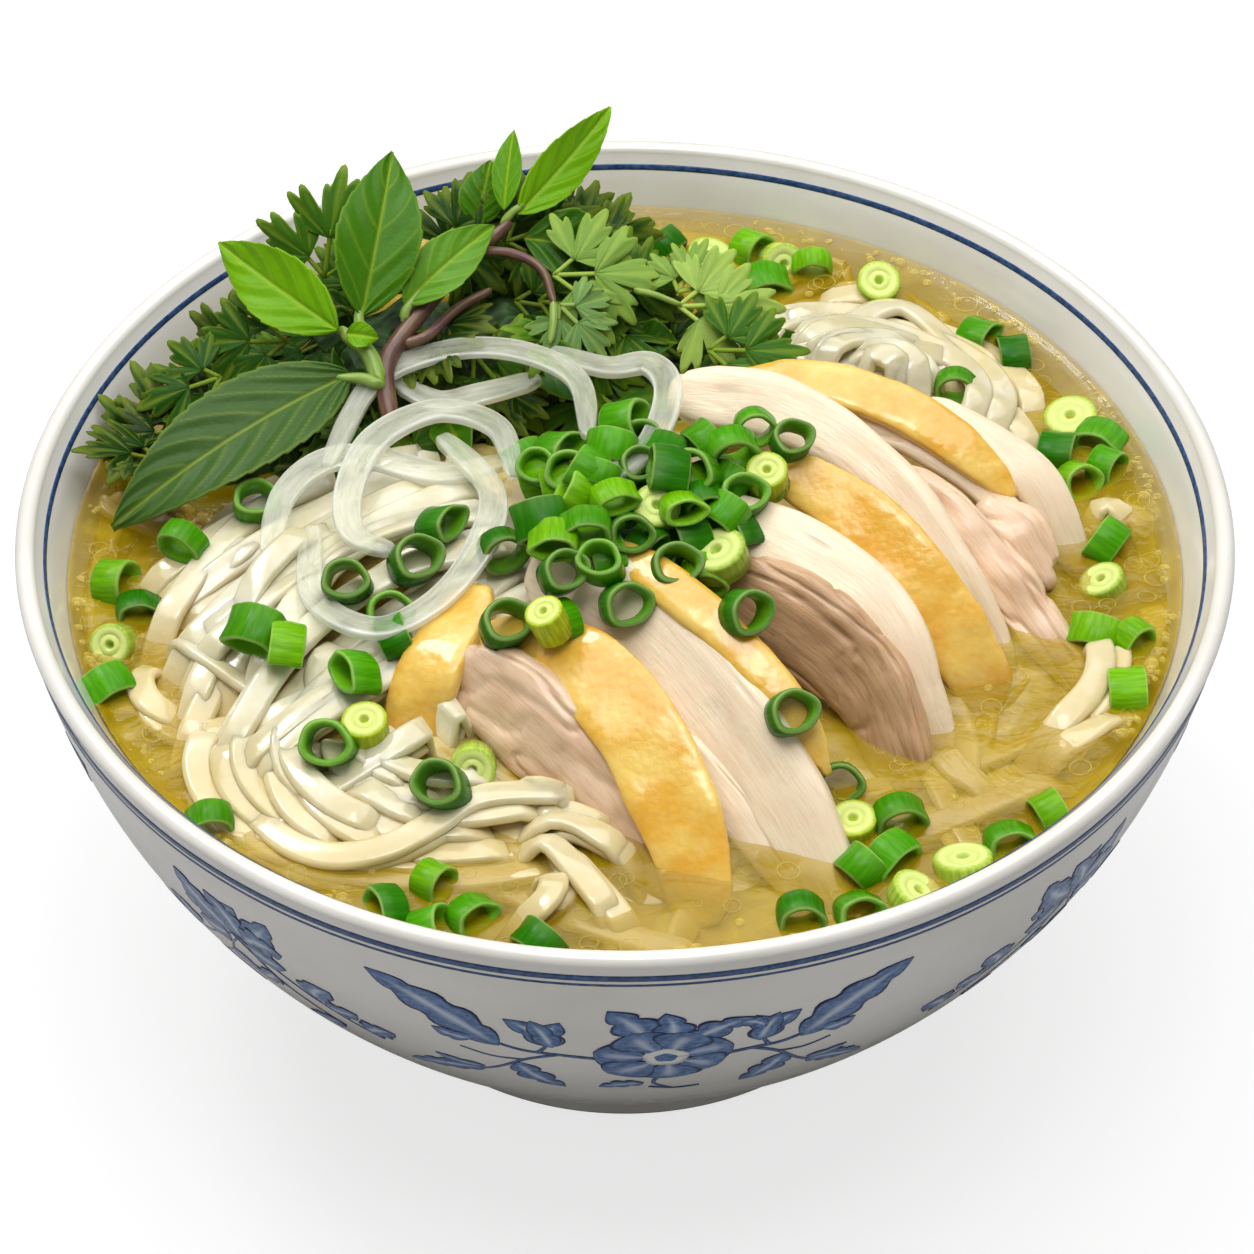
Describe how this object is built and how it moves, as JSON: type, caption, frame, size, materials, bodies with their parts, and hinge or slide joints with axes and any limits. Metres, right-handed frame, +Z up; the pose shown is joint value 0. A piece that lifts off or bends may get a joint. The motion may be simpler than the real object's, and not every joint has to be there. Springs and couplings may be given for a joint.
{
  "type": "bowl of chicken noodle soup",
  "caption": "Footed porcelain bowl of clear broth and rice noodles under sliced chicken, onion rings, sliced scallion and fresh herbs.",
  "frame": {"origin": "centre of the foot ring on the table", "axes": "+Z up along the bowl's axis, +X to the eater's right, +Y away from the eater"},
  "size_m": [0.1994, 0.1994, 0.1233],
  "materials": {
    "porcelain": "white glaze with blue brushed lines and flowers",
    "broth": "clear golden broth with drops of oil",
    "noodle": "soft white rice noodle, wet",
    "chicken_skin": "yellow poached skin, pebbled and wet",
    "white_meat": "poached breast, fine fibres",
    "dark_meat": "poached leg, pinkish brown fibres",
    "onion": "raw onion, half clear and wet",
    "basil_leaf": "green leaf with sunk veins",
    "coriander_leaf": "soft green lobed leaf",
    "purple_stem": "purple brown herb stem",
    "green_stem": "green herb stem",
    "scallion": "sliced spring onion, wet"
  },
  "bodies": {
    "root": {"bowl": "porcelain", "broth": "broth", "noodle_heap": "noodle", "herb_bed": "coriander_leaf", "scallion_heap": "scallion", "onion_ring_1": "onion", "onion_ring_2": "onion", "onion_ring_3": "onion", "onion_ring_4": "onion", "onion_ring_5": "onion", "onion_ring_6": "onion", "basil_leaf_1": "basil_leaf", "basil_leaf_2": "basil_leaf", "basil_leaf_3": "basil_leaf", "basil_leaf_4": "basil_leaf", "basil_leaf_5": "basil_leaf", "basil_leaf_6": "basil_leaf", "basil_leaf_7": "basil_leaf", "basil_leaf_8": "basil_leaf", "basil_leaf_9": "basil_leaf", "coriander_leaf_1": "coriander_leaf", "coriander_leaf_2": "coriander_leaf", "coriander_leaf_3": "coriander_leaf", "coriander_leaf_4": "coriander_leaf", "coriander_leaf_5": "coriander_leaf", "coriander_leaf_6": "coriander_leaf", "coriander_leaf_7": "coriander_leaf", "coriander_leaf_8": "coriander_leaf", "basil_stem_1": "purple_stem", "basil_stem_2": "green_stem", "coriander_stem_1": "purple_stem", "thigh_skin_end": "chicken_skin", "thigh_skin": "chicken_skin", "breast_skin": "chicken_skin", "back_skin": "chicken_skin", "far_skin": "chicken_skin", "breast_meat": "white_meat", "breast_under_meat": "white_meat", "middle_meat": "white_meat", "back_meat": "white_meat", "far_meat": "white_meat", "far_torn_meat": "white_meat", "thigh_meat": "dark_meat", "middle_dark_meat": "dark_meat", "far_dark_meat": "dark_meat", "far_torn_knob": "dark_meat"}
  },
  "joints": []
}
